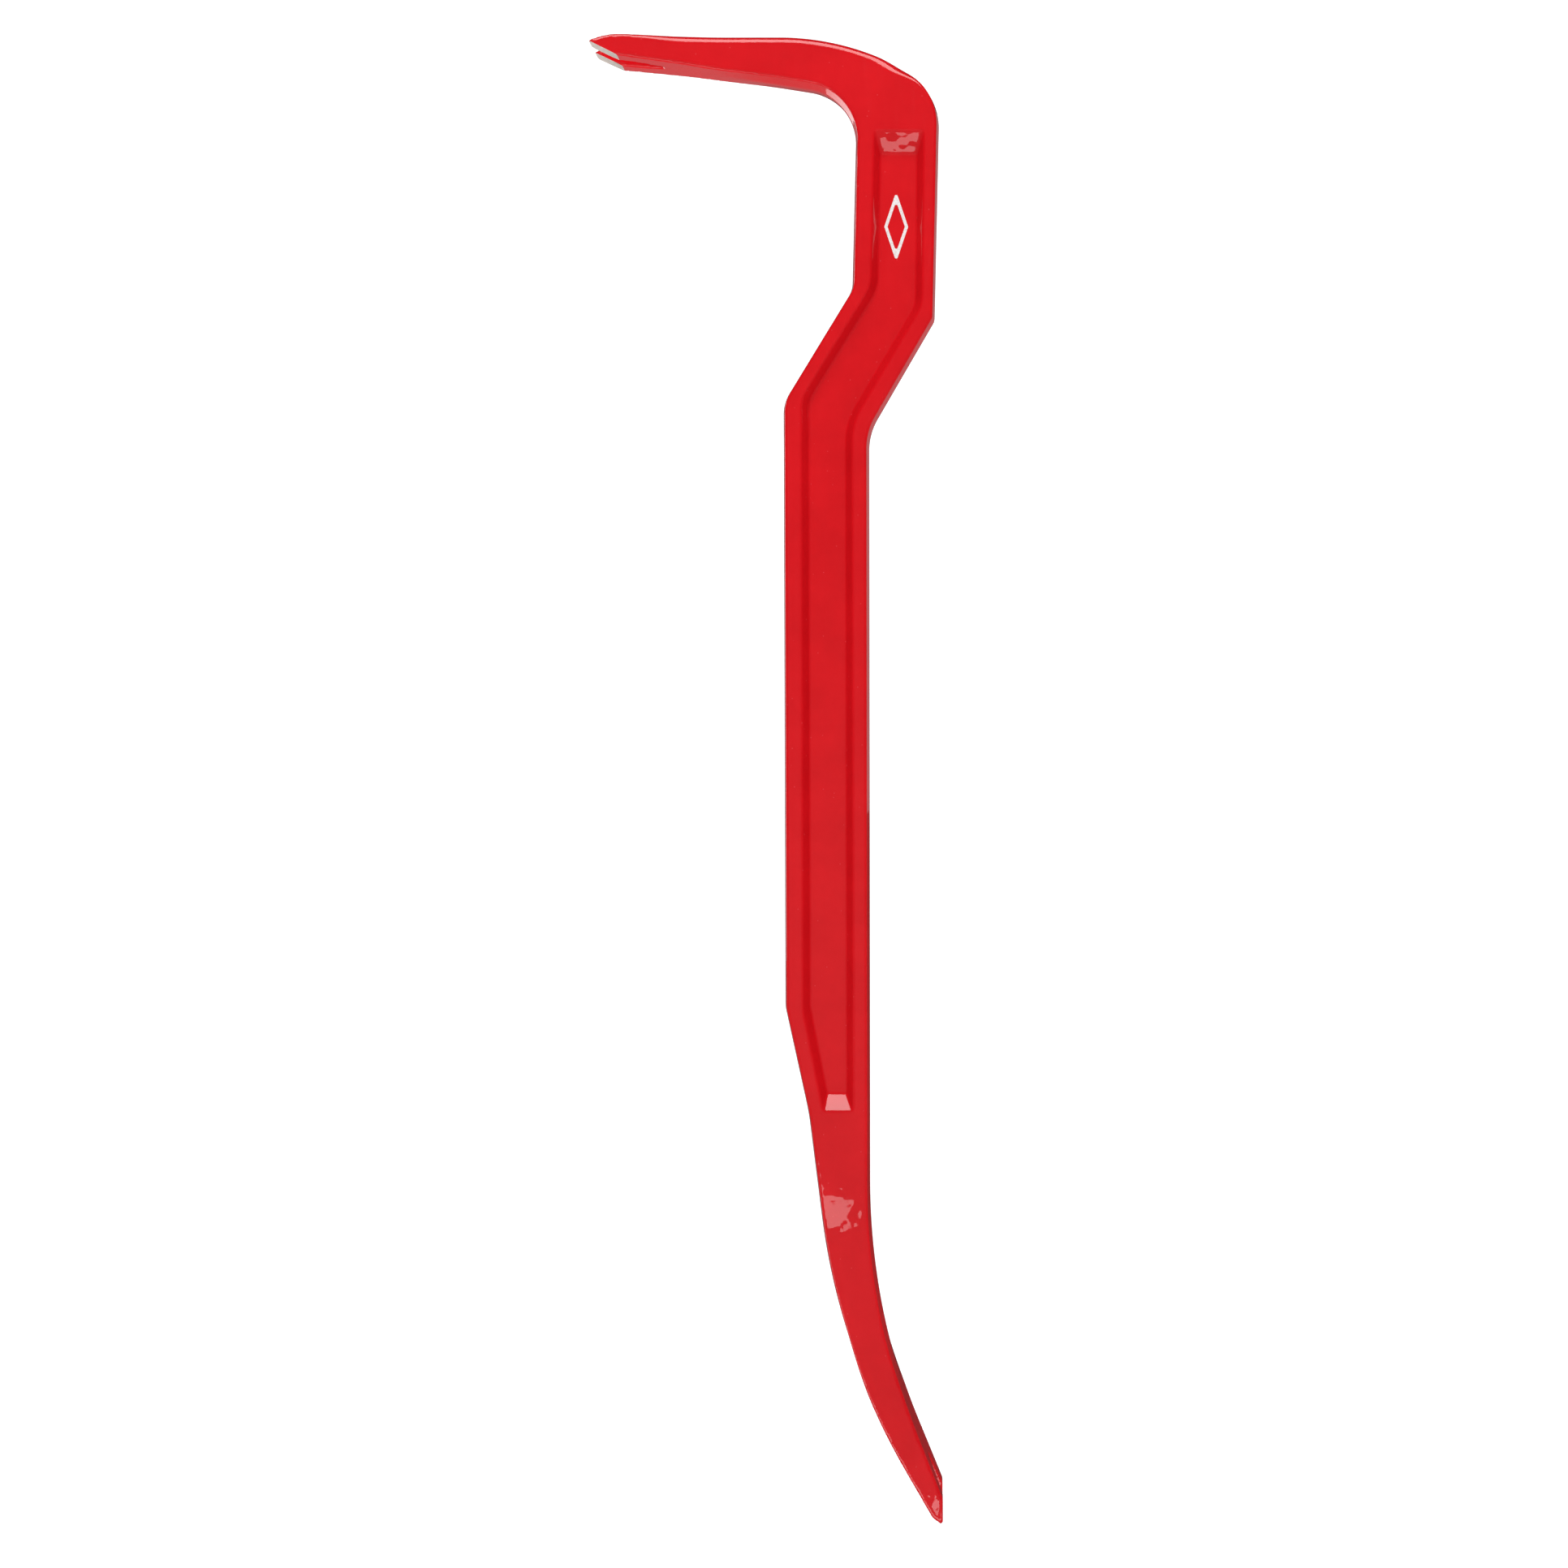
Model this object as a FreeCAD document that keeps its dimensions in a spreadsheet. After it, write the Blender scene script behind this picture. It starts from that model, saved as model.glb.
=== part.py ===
"""Forged steel pry bar with a gooseneck claw, an I-beam shaft and a flared chisel.

Frame: millimetres, +Z up. The bar hangs by its hook, so the origin is the seat under the hook where
it meets a peg. The hook points along -X, the shaft runs down -Z, and the bar's width lies along Y,
with the forging's parting plane at Y = 0.
"""

import FreeCAD, Part
import math
import os
import re

import Sketcher

NO_ROUND = None

# Driving dimensions: alias, value, meaning. Lengths in millimetres, angles in degrees.
DIMENSIONS = [
    ("bar_width", 17.0, "width of the shaft along Y"),
    ("shaft_x", 5.0, "middle of the lower shaft, behind the seat"),
    ("shaft_depth", 34.7, "front to back of the lower shaft"),
    ("neck_x", 32.25, "middle of the neck at its foot"),
    ("neck_depth", 33.3, "front to back of the neck"),
    ("neck_lean", 2.0, "how far the neck leans back at its top"),
    ("crank_front_z", -79.8, "where the crank starts, front"),
    ("crank_back_z", -92.0, "where the crank starts, back"),
    ("crank_drop", 45.3, "height of the crank"),
    ("hook_rise", 19.5, "top of the hook above the seat"),
    ("hook_reach", 88.7, "tip of the hook ahead of the seat"),
    ("tip_drop", 2.9, "tip below the top of the hook"),
    ("crest_run", 6.5, "tip to the level top of the hook"),
    ("shoulder_x", 13.6, "where the top turns down to the outer bend"),
    ("outer_bend_z", -0.9, "corner height of the outer bend"),
    ("inner_bend_z", -2.6, "corner height of the inner bend"),
    ("claw_under_z", 12.5, "underside of the claw at its tip, before grinding"),
    ("claw_knuckle_x", -50.0, "where the underside turns up towards the tip"),
    ("claw_knuckle_z", 7.97, "height of the underside there"),
    ("grind_run", 11.5, "length of the ground bevel under each prong"),
    ("grind_slope", 0.474, "rise of the bevel for each millimetre towards the tip"),
    ("grind_lip", 8.44, "how far behind the tip the bevel passes the underside's height there"),
    ("claw_width", 25.2, "width of the claw at its tip"),
    ("claw_neck_x", -39.0, "where the claw starts to flare"),
    ("claw_flare", 0.0824, "how much each side of the claw widens for each millimetre of reach"),
    ("claw_slot_mouth", 7.0, "nail slot of the claw, width at the tip"),
    ("claw_slot_length", 32.5, "nail slot of the claw, length"),
    ("taper_z", -371.0, "where the front of the shaft starts to taper"),
    ("waist_x", -2.9, "front of the bar at the end of the taper"),
    ("waist_z", -414.9, "height of the end of the taper"),
    ("belly_x", 9.2, "front corner of the blade's curve"),
    ("belly_z", -513.3, "height of that corner"),
    ("blade_bend_z", -496.8, "height of the curve's corner on the back"),
    ("chisel_x", 52.3, "end face of the chisel"),
    ("chisel_top_z", -572.4, "upper edge of the end face"),
    ("chisel_tip_z", -583.3, "cutting edge of the chisel"),
    ("chisel_heel_x", 48.0, "where the front turns in to the cutting edge"),
    ("chisel_heel_z", -580.0, "height of that turn"),
    ("chisel_width", 26.0, "width of the chisel at its end"),
    ("chisel_neck_z", -498.4, "where the blade starts to flare"),
    ("chisel_slot_mouth", 15.0, "nail slot of the chisel, width at the end"),
    ("chisel_slot_length", 27.0, "nail slot of the chisel, length"),
    ("crest_radius", 30.0, "outline radius at the tip's crest"),
    ("shoulder_radius", 104.0, "outline radius of the hook's shoulder"),
    ("outer_bend_radius", 24.0, "outline radius of the outer bend"),
    ("inner_bend_radius", 22.0, "outline radius of the inner bend"),
    ("claw_knuckle_radius", 300.0, "outline radius under the claw"),
    ("knee_back_radius", 4.0, "outline radius at the top of the crank, back"),
    ("heel_back_radius", 25.0, "outline radius at the foot of the crank, back"),
    ("knee_front_radius", 10.0, "outline radius at the top of the crank, front"),
    ("heel_front_radius", 16.0, "outline radius at the foot of the crank, front"),
    ("taper_radius", 15.0, "outline radius where the taper starts"),
    ("waist_radius", 100.0, "outline radius at the waist"),
    ("belly_radius", 270.0, "outline radius of the blade's front"),
    ("blade_radius", 280.0, "outline radius of the blade's back"),
    ("claw_flare_radius", 120.0, "radius where the claw starts to flare"),
    ("chisel_flare_radius", 150.0, "radius where the chisel starts to flare"),
    ("slot_bow", 0.46, "half-width of the claw's slot at mid-length, as a share of its mouth"),
    ("slot_side_radius", 60.0, "radius of the bow in the claw slot's sides"),
    ("slot_root_radius", 1.2, "radius at the root of both nail slots"),
    ("web_depth", 4.5, "depth of the recess in each side"),
    ("recess_top_z", -17.4, "upper end of the recess"),
    ("recess_foot_z", -413.0, "lower end of the recess"),
    ("recess_foot_x", 3.3, "front corner of the recess at its lower end"),
    ("recess_knee_back_z", -87.1, "bend of the recess at the top of the crank, back"),
    ("recess_heel_back_z", -134.2, "bend of the recess at the foot of the crank, back"),
    ("recess_knee_front_z", -79.0, "bend of the recess at the top of the crank, front"),
    ("recess_heel_front_z", -123.9, "bend of the recess at the foot of the crank, front"),
    ("front_flange", 7.6, "front flange of shaft and crank, outline to recess"),
    ("back_flange", 6.6, "back flange of the shaft"),
    ("knee_back_flange", 5.0, "back flange at the top of the crank"),
    ("neck_front_flange", 9.0, "front flange of the neck at its top"),
    ("neck_back_flange", 4.3, "back flange of the neck at its top"),
    ("recess_wall", 2.7, "slope of the recess walls, mouth to floor"),
    ("recess_end_wall", 9.0, "slope of its upper end wall"),
    ("recess_foot_wall", 6.6, "slope of its lower end wall"),
    ("recess_end_radius", 2.0, "radius of the recess corners at its ends"),
    ("recess_knee_radius", 15.0, "radius of the bends of the recess"),
    ("recess_heel_radius", 25.0, "radius of its bend at the foot of the crank, back"),
    ("draft_angle", 8.0, "forging draft of the outer walls"),
    ("flash_land", 0.15, "trimmed flash left standing at the parting plane"),
    ("overcut", 15.0, "how far a cutting outline reaches past the bar"),
    ("enamel", 0.4, "thickness of the enamel coat"),
    ("mark_x", 33.4, "middle of the printed mark"),
    ("mark_z", -55.0, "height of its middle"),
    ("mark_length", 28.0, "height of the printed mark, corner to corner"),
    ("mark_width", 9.6, "width of the printed mark, corner to corner"),
    ("mark_line", 1.3, "line width of the printed mark"),
    ("mark_ink", 0.1, "thickness of the printed ink"),
]
ALIASES = {alias for alias, _, _ in DIMENSIONS}
BARE = "0"

# How far a bend of the recess moves down for each millimetre of wall slope, along the crank.
BEND_SHIFT = 0.3


def make_sheet(doc):
    """The spreadsheet that every size comes from."""
    sheet = doc.addObject("Spreadsheet::Sheet", "sizes")
    for row, (alias, size, meaning) in enumerate(DIMENSIONS, start=1):
        sheet.set(f"A{row}", meaning)
        sheet.set(f"B{row}", str(size))
        sheet.setAlias(f"B{row}", alias)
    doc.recompute()
    return sheet


def plane_of(body, role):
    """One of a body's own origin planes, such as XZ_Plane."""
    return next(p for p in body.Origin.OriginFeatures if p.Role == role)


def number(body, formula):
    """What a formula over the sheet comes to now."""
    result = body.evalExpression(formula)
    return float(getattr(result, "Value", result))


def tangent_points(before, corner, after, radius):
    """Where an arc of this radius touches the two runs that meet at a corner, and its centre."""
    back = (before - corner).normalize()
    ahead = (after - corner).normalize()
    half_angle = back.getAngle(ahead) / 2
    run = radius / math.tan(half_angle)
    middle = (back + ahead).normalize()
    centre = corner + middle * (radius / math.sin(half_angle))
    return corner + back * run, corner + ahead * run, centre


def add_arc(sketch, first, last, centre, radius):
    """Adds the short arc from first to last; says whether it runs from first, counterclockwise."""
    start = math.atan2(first.y - centre.y, first.x - centre.x)
    end = math.atan2(last.y - centre.y, last.x - centre.x)
    forward = (end - start) % (2 * math.pi) < math.pi
    if not forward:
        start, end = end, start
    circle = Part.Circle(centre, FreeCAD.Vector(0, 0, 1), radius)
    return sketch.addGeometry(Part.ArcOfCircle(circle, start, end), False), forward


def pin(sketch, geometry, vertex, at, formulas):
    """Holds a point at two formulas, measured from the sketch's origin."""
    for kind, size, formula in zip(("DistanceX", "DistanceY"), (at.x, at.y), formulas):
        index = sketch.addConstraint(Sketcher.Constraint(kind, -1, 1, geometry, vertex, size))
        sketch.setExpression(f"Constraints[{index}]", formula)


def add_outline(sketch, body, corners):
    """A closed outline of straight runs joined by tangent arcs.

    A corner is (across, up, radius), each a formula over the sheet; NO_ROUND leaves it sharp.
    """
    points = [FreeCAD.Vector(number(body, a), number(body, b), 0) for a, b, _ in corners]
    count = len(points)
    arrive, leave, arcs = [], [], []
    for i, (_, _, radius_formula) in enumerate(corners):
        if radius_formula is NO_ROUND:
            arrive.append(points[i])
            leave.append(points[i])
            arcs.append(None)
            continue
        radius = number(body, radius_formula)
        first, last, centre = tangent_points(points[i - 1], points[i], points[(i + 1) % count], radius)
        arrive.append(first)
        leave.append(last)
        arcs.append((centre, radius, radius_formula))
    lines = [
        sketch.addGeometry(Part.LineSegment(leave[i], arrive[(i + 1) % count]), False)
        for i in range(count)
    ]
    for i, arc in enumerate(arcs):
        before, after = lines[i - 1], lines[i]
        if arc is None:
            sketch.addConstraint(Sketcher.Constraint("Coincident", before, 2, after, 1))
            pin(sketch, after, 1, points[i], corners[i][:2])
            continue
        centre, radius, radius_formula = arc
        curve, forward = add_arc(sketch, arrive[i], leave[i], centre, radius)
        first, last = (1, 2) if forward else (2, 1)
        sketch.addConstraint(Sketcher.Constraint("Tangent", before, 2, curve, first))
        sketch.addConstraint(Sketcher.Constraint("Tangent", curve, last, after, 1))
        index = sketch.addConstraint(Sketcher.Constraint("Radius", curve, radius))
        sketch.setExpression(f"Constraints[{index}]", radius_formula)
        apex = sketch.addGeometry(Part.Point(points[i]), True)
        sketch.addConstraint(Sketcher.Constraint("PointOnObject", apex, 1, before))
        sketch.addConstraint(Sketcher.Constraint("PointOnObject", apex, 1, after))
        pin(sketch, apex, 1, points[i], corners[i][:2])


def turned_in(body, corners, skin):
    """The same outline moved inwards by a skin's thickness, or outwards by a negative one.

    Each corner moves along its bisector by a fixed number of skins, so it stays bound to the sheet.
    """
    if skin == BARE:
        return corners
    points = [FreeCAD.Vector(number(body, a), number(body, b), 0) for a, b, _ in corners]
    count = len(points)
    area = sum(points[i - 1].cross(points[i]).z for i in range(count))
    inward = 1 if area > 0 else -1
    moved = []
    for i, (across, up, radius) in enumerate(corners):
        arrive = (points[i] - points[i - 1]).normalize()
        leave = (points[(i + 1) % count] - points[i]).normalize()
        normals = [FreeCAD.Vector(-run.y, run.x, 0) * inward for run in (arrive, leave)]
        step = (normals[0] + normals[1]) / (1 + normals[0].dot(normals[1]))
        outer_corner = arrive.cross(leave).z * inward > 0
        if radius is not NO_ROUND:
            radius = f"{radius} {'-' if outer_corner else '+'} ({skin})"
        moved.append((f"{across} + ({step.x:.5f}) * ({skin})", f"{up} + ({step.y:.5f}) * ({skin})", radius))
    return moved


def make_sketch(body, name, role, outlines, skin=BARE, offset="0"):
    """A sketch on an origin plane of the body, moved along the plane's normal by a formula."""
    sketch = body.newObject("Sketcher::SketchObject", name)
    sketch.AttachmentSupport = (plane_of(body, role), [""])
    sketch.MapMode = "FlatFace"
    sketch.setExpression("AttachmentOffset.Base.z", offset)
    for corners in outlines:
        add_outline(sketch, body, turned_in(body, corners, skin))
    return sketch


def spelled(formula):
    """A formula with each alias written as its cell of the sheet."""
    return re.sub(r"[a-z_]+", lambda word: f"sizes.{word[0]}" if word[0] in ALIASES else word[0], formula)


def corners_of(*corners):
    """Corner formulas ready for a sketch."""
    return [tuple(f if f is NO_ROUND else spelled(f) for f in corner) for corner in corners]


def mirrored(corners, axis):
    """An outline and its mirror image, the sign of its first or second formula changed."""
    image = [
        (f"-({a})", b, radius) if axis == "across" else (a, f"-({b})", radius)
        for a, b, radius in corners
    ]
    return [corners, image]


def side_outline():
    """Side view of the whole forging, as X and Z, from the tip of the hook clockwise."""
    return corners_of(
        ("-hook_reach", "hook_rise - tip_drop", NO_ROUND),
        ("crest_run - hook_reach", "hook_rise", "crest_radius"),
        ("shoulder_x", "hook_rise", "shoulder_radius"),
        ("neck_x + neck_lean + neck_depth / 2", "outer_bend_z", "outer_bend_radius"),
        ("neck_x + neck_depth / 2", "crank_back_z", "knee_back_radius"),
        ("shaft_x + shaft_depth / 2", "crank_back_z - crank_drop", "heel_back_radius"),
        ("shaft_x + shaft_depth / 2", "blade_bend_z", "blade_radius"),
        ("chisel_x", "chisel_top_z", NO_ROUND),
        ("chisel_x", "chisel_tip_z", NO_ROUND),
        ("chisel_heel_x", "chisel_heel_z", NO_ROUND),
        ("belly_x", "belly_z", "belly_radius"),
        ("waist_x", "waist_z", "waist_radius"),
        ("shaft_x - shaft_depth / 2", "taper_z", "taper_radius"),
        ("shaft_x - shaft_depth / 2", "crank_front_z - crank_drop", "heel_front_radius"),
        ("neck_x - neck_depth / 2", "crank_front_z", "knee_front_radius"),
        ("neck_x + neck_lean - neck_depth / 2", "inner_bend_z", "inner_bend_radius"),
        ("claw_knuckle_x", "claw_knuckle_z", "claw_knuckle_radius"),
        ("-hook_reach", "claw_under_z", NO_ROUND),
    )


def draft_outline():
    """Outline of the drafted envelope. Along the shaft it stands a flash land outside the bar, and
    at the hook and the blade it swings clear, so that their walls end up square."""
    neck_back = "neck_x + neck_depth / 2 + flash_land"
    neck_front = "neck_x - neck_depth / 2 - flash_land"
    shaft_back = "shaft_x + shaft_depth / 2 + flash_land"
    shaft_front = "shaft_x - shaft_depth / 2 - flash_land"
    return corners_of(
        ("-hook_reach - overcut", "inner_bend_z", NO_ROUND),
        ("-hook_reach - overcut", "hook_rise + overcut", NO_ROUND),
        ("neck_x + neck_depth", "hook_rise + overcut", NO_ROUND),
        ("neck_x + neck_depth", "hook_rise", NO_ROUND),
        (f"{neck_back} + neck_lean", "-hook_rise", "2 * outer_bend_radius"),
        (neck_back, "crank_back_z", "knee_back_radius"),
        (shaft_back, "crank_back_z - crank_drop", "heel_back_radius"),
        (shaft_back, "blade_bend_z + overcut", "blade_radius - 3 * overcut"),
        ("chisel_x", "chisel_top_z + overcut", NO_ROUND),
        ("chisel_x + overcut", "chisel_tip_z - overcut", NO_ROUND),
        ("chisel_heel_x - overcut", "chisel_tip_z - overcut", NO_ROUND),
        ("belly_x - overcut / 3", "belly_z", "belly_radius"),
        ("waist_x - flash_land", "waist_z", "waist_radius"),
        (shaft_front, "taper_z", "taper_radius"),
        (shaft_front, "crank_front_z - crank_drop", "heel_front_radius"),
        (neck_front, "crank_front_z", "knee_front_radius"),
        (f"{neck_front} + neck_lean", "inner_bend_z - flash_land", "inner_bend_radius"),
    )


def hook_cheeks():
    """What is cut from the sides of the hook, in plan: the claw flares towards its tip."""
    return corners_of(
        ("-hook_reach - overcut", "-claw_width / 2 - claw_flare * overcut", NO_ROUND),
        ("claw_neck_x", "-bar_width / 2", "claw_flare_radius"),
        ("neck_x + neck_depth", "-bar_width / 2", NO_ROUND),
        ("neck_x + neck_depth", "-chisel_width", NO_ROUND),
        ("-hook_reach - overcut", "-chisel_width", NO_ROUND),
    )


def shaft_cheeks():
    """What is cut from the sides of shaft and blade, seen edge on: the chisel flares to its end."""
    return corners_of(
        ("-bar_width / 2", "-hook_rise", NO_ROUND),
        ("-bar_width / 2", "chisel_neck_z", "chisel_flare_radius"),
        ("-chisel_width / 2", "chisel_tip_z", NO_ROUND),
        ("-chisel_width", "chisel_tip_z", NO_ROUND),
        ("-chisel_width", "-hook_rise", NO_ROUND),
    )


def claw_slot():
    """The claw's nail slot in plan: sides that bow a little, and a rounded root."""
    return corners_of(
        ("-hook_reach - overcut", "-claw_slot_mouth / 2", NO_ROUND),
        ("claw_slot_length / 2 - hook_reach", "-claw_slot_mouth * slot_bow", "slot_side_radius"),
        ("claw_slot_length + slot_root_radius - hook_reach", "0", "slot_root_radius"),
        ("claw_slot_length / 2 - hook_reach", "claw_slot_mouth * slot_bow", "slot_side_radius"),
        ("-hook_reach - overcut", "claw_slot_mouth / 2", NO_ROUND),
    )


def chisel_slot():
    """The chisel's nail slot, seen edge on: a plain V with a rounded root."""
    return corners_of(
        ("-chisel_slot_mouth / 2", "chisel_tip_z", NO_ROUND),
        ("0", "chisel_tip_z + chisel_slot_length + slot_root_radius", "slot_root_radius"),
        ("chisel_slot_mouth / 2", "chisel_tip_z", NO_ROUND),
        ("chisel_slot_mouth / 2", "chisel_tip_z - overcut", NO_ROUND),
        ("-chisel_slot_mouth / 2", "chisel_tip_z - overcut", NO_ROUND),
    )


def recess_outline(wall, end_wall, foot_wall):
    """The I-beam recess at its mouth, or drawn in by the slope of each wall at its floor."""
    neck_front = "neck_x - neck_depth / 2"
    neck_back = "neck_x + neck_depth / 2"
    shaft_front = f"shaft_x - shaft_depth / 2 + front_flange + {wall}"
    shaft_back = f"shaft_x + shaft_depth / 2 - back_flange - {wall}"
    top, foot = f"recess_top_z - {end_wall}", f"recess_foot_z + {foot_wall}"
    shift = f"{wall} * {BEND_SHIFT}"
    return corners_of(
        (f"{neck_front} + neck_front_flange + {wall}", top, "recess_end_radius"),
        (f"{neck_back} - neck_back_flange - {wall}", top, "recess_end_radius"),
        (f"{neck_back} - knee_back_flange - {wall}", f"recess_knee_back_z - {shift}", "recess_knee_radius"),
        (shaft_back, f"recess_heel_back_z - {shift}", "recess_heel_radius"),
        (shaft_back, foot, "recess_end_radius"),
        (f"recess_foot_x + {wall}", foot, "recess_end_radius"),
        (shaft_front, "taper_z", "recess_knee_radius"),
        (shaft_front, f"recess_heel_front_z - {shift}", "recess_knee_radius"),
        (f"{neck_front} + front_flange + {wall}", f"recess_knee_front_z - {shift}", "recess_knee_radius"),
    )


def grind_outline():
    """The wedge ground from under the claw, from its tip back to its underside."""
    return corners_of(
        ("-hook_reach - overcut", "claw_under_z + grind_slope * (grind_lip + overcut)", NO_ROUND),
        ("grind_run - hook_reach", "claw_under_z + grind_slope * (grind_lip - grind_run)", NO_ROUND),
        ("grind_run - hook_reach", "inner_bend_z", NO_ROUND),
        ("-hook_reach - overcut", "inner_bend_z", NO_ROUND),
    )


def cut_through(body, name, sketch, length):
    """Cuts a sketch's outlines away to both sides of its plane and checks that something went."""
    before = body.Shape.Volume
    pocket = body.newObject("PartDesign::Pocket", name)
    pocket.Profile = sketch
    pocket.SideType = "Symmetric"
    pocket.setExpression("Length", length)
    body.Document.recompute()
    if body.Shape.Volume > before - 1:
        raise RuntimeError(f"{name} cut nothing")


def cut_recesses(body, skin):
    """The recess in one side, from its mouth down to the web, and the same in the other side."""
    at_mouth = make_sketch(
        body, "recess_mouth", "XZ_Plane", [recess_outline("0", "0", "0")],
        f"-1.2 * {skin}", "sizes.bar_width / 2",
    )
    at_floor = make_sketch(
        body, "recess_floor", "XZ_Plane",
        [recess_outline("recess_wall", "recess_end_wall", "recess_foot_wall")],
        f"-0.6 * {skin}", f"sizes.bar_width / 2 - sizes.web_depth - {skin}",
    )
    before = body.Shape.Volume
    recess = body.newObject("PartDesign::SubtractiveLoft", "recess")
    recess.Profile = at_mouth
    recess.Sections = [at_floor]
    recess.Ruled = True
    body.Document.recompute()
    far_side = body.newObject("PartDesign::Mirrored", "recess_far_side")
    far_side.Originals = [recess]
    far_side.MirrorPlane = (plane_of(body, "XZ_Plane"), [""])
    body.Tip = far_side
    body.Document.recompute()
    one_recess = recess.AddSubShape.Volume
    if not 1.5 * one_recess < before - body.Shape.Volume < 2.1 * one_recess:
        raise RuntimeError("a recess is missing")


def make_blank(doc, name, skin):
    """The bar before draft, drawn in by a skin: side view, flares, nail slots and recesses."""
    body = doc.addObject("PartDesign::Body", name)
    grown = f"-({skin})" if skin != BARE else BARE
    pad = body.newObject("PartDesign::Pad", "side_view")
    pad.Profile = make_sketch(body, "side_outline", "XZ_Plane", [side_outline()], skin)
    pad.SideType = "Symmetric"
    pad.setExpression("Length", "sizes.chisel_width + sizes.overcut")
    doc.recompute()
    cuts = [
        ("hook_sides", "XY_Plane", mirrored(hook_cheeks(), "up"), "4 * sizes.hook_rise"),
        ("shaft_sides", "YZ_Plane", mirrored(shaft_cheeks(), "across"), "4 * sizes.hook_reach"),
        ("claw_slot", "XY_Plane", [claw_slot()], "4 * sizes.hook_rise"),
        ("chisel_slot", "YZ_Plane", [chisel_slot()], "4 * sizes.chisel_x"),
    ]
    for cut, plane, outlines, length in cuts:
        sketch = make_sketch(body, f"{cut}_outline", plane, outlines, grown)
        cut_through(body, cut, sketch, length)
    cut_recesses(body, skin)
    return body


def make_envelope(doc, name, skin):
    """The envelope whose walls lean in from the parting plane to both sides."""
    body = doc.addObject("PartDesign::Body", name)
    pad = body.newObject("PartDesign::Pad", "drafted")
    pad.Profile = make_sketch(body, "draft_outline", "XZ_Plane", [draft_outline()], skin)
    pad.SideType = "Two sides"
    for side in ("", "2"):
        pad.setExpression(f"Length{side}", "sizes.chisel_width / 2 + sizes.enamel")
        pad.setExpression(f"TaperAngle{side}", "-sizes.draft_angle")
    doc.recompute()
    return body


def make_grind(doc):
    """The wedge that a grinder takes off the underside of both prongs, through the enamel."""
    body = doc.addObject("PartDesign::Body", "grind")
    pad = body.newObject("PartDesign::Pad", "wedge")
    pad.Profile = make_sketch(body, "grind_outline", "XZ_Plane", [grind_outline()])
    pad.SideType = "Symmetric"
    pad.setExpression("Length", "2 * sizes.claw_width")
    doc.recompute()
    return body


def combine(doc, kind, label, base, tool):
    """A Part boolean of two objects."""
    made = doc.addObject(kind, label)
    made.Base, made.Tool = base, tool
    made.Label = label
    doc.recompute()
    return made


def make_forging(doc, name, skin):
    """The forging, drawn in by a skin."""
    blank = make_blank(doc, f"{name}_blank", skin)
    envelope = make_envelope(doc, f"{name}_envelope", skin)
    return combine(doc, "Part::Common", name, blank, envelope)


def make_bar_and_coat(doc):
    """The steel bar and the enamel round it. The claw is ground after enamelling, to bare steel."""
    outside = make_forging(doc, "outside", BARE)
    steel = make_forging(doc, "steel", "sizes.enamel")
    grind = make_grind(doc)
    coat = combine(doc, "Part::Cut", "coat_before_grinding", outside, steel)
    return [
        combine(doc, "Part::Cut", "forged_bar", steel, grind),
        combine(doc, "Part::Cut", "enamel_coat", coat, grind),
    ]


def lozenge(inset):
    """An upright lozenge about the middle of the mark, its corners drawn in by a formula."""
    return corners_of(
        ("mark_x", f"mark_z + mark_length / 2 - 3 * {inset}", "mark_line / 2"),
        (f"mark_x + mark_width / 2 - {inset}", "mark_z", "mark_line / 2"),
        ("mark_x", f"mark_z - mark_length / 2 + 3 * {inset}", "mark_line / 2"),
        (f"mark_x - mark_width / 2 + {inset}", "mark_z", "mark_line / 2"),
    )


def make_mark(doc):
    """A printed mark on the web: a plain outlined lozenge, with no letters."""
    body = doc.addObject("PartDesign::Body", "printed_mark")
    outlines = [lozenge("0"), lozenge("mark_line")]
    web = "sizes.bar_width / 2 - sizes.web_depth"
    pad = body.newObject("PartDesign::Pad", "ink")
    pad.Profile = make_sketch(body, "mark_outline", "XZ_Plane", outlines, BARE, web)
    pad.setExpression("Length", "sizes.mark_ink")
    doc.recompute()
    return body


def check(doc, nodes):
    """Stops on a failed feature, and on a sub-part that isn't one valid solid of a likely width."""
    for item in doc.Objects:
        if "Invalid" in item.State or "Error" in item.State:
            raise RuntimeError(f"{item.Name} failed: {item.State}")
    widest = float(doc.getObject("sizes").get("chisel_width"))
    for node in nodes:
        shape = node.Shape
        if shape.isNull() or not shape.isValid() or len(shape.Solids) != 1:
            raise RuntimeError(f"{node.Label} isn't one valid solid")
        if shape.BoundBox.YLength > widest + 0.01:
            raise RuntimeError(f"{node.Label} is wider than the chisel")


def main():
    doc = FreeCAD.newDocument("pry_bar")
    make_sheet(doc)
    nodes = [*make_bar_and_coat(doc), make_mark(doc)]
    doc.recompute()
    check(doc, nodes)
    os.makedirs("parts", exist_ok=True)
    for node in nodes:
        node.Shape.exportStep(f"parts/{node.Label}.step")
        centre = node.Shape.CenterOfGravity
        print(node.Label, round(node.Shape.Volume), "mm3", centre, node.Shape.BoundBox)


main()
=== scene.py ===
"""Looks of the forged pry bar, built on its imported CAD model.

The enamel's surface is worked out again from the bar's own dimensions, so that its arcs are true and
its edges are rounded as on a forging. The claw's prongs are then ground flat, down to bare steel.
"""

import math

import bmesh
import bpy
import numpy as np
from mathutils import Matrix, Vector, noise


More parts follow.
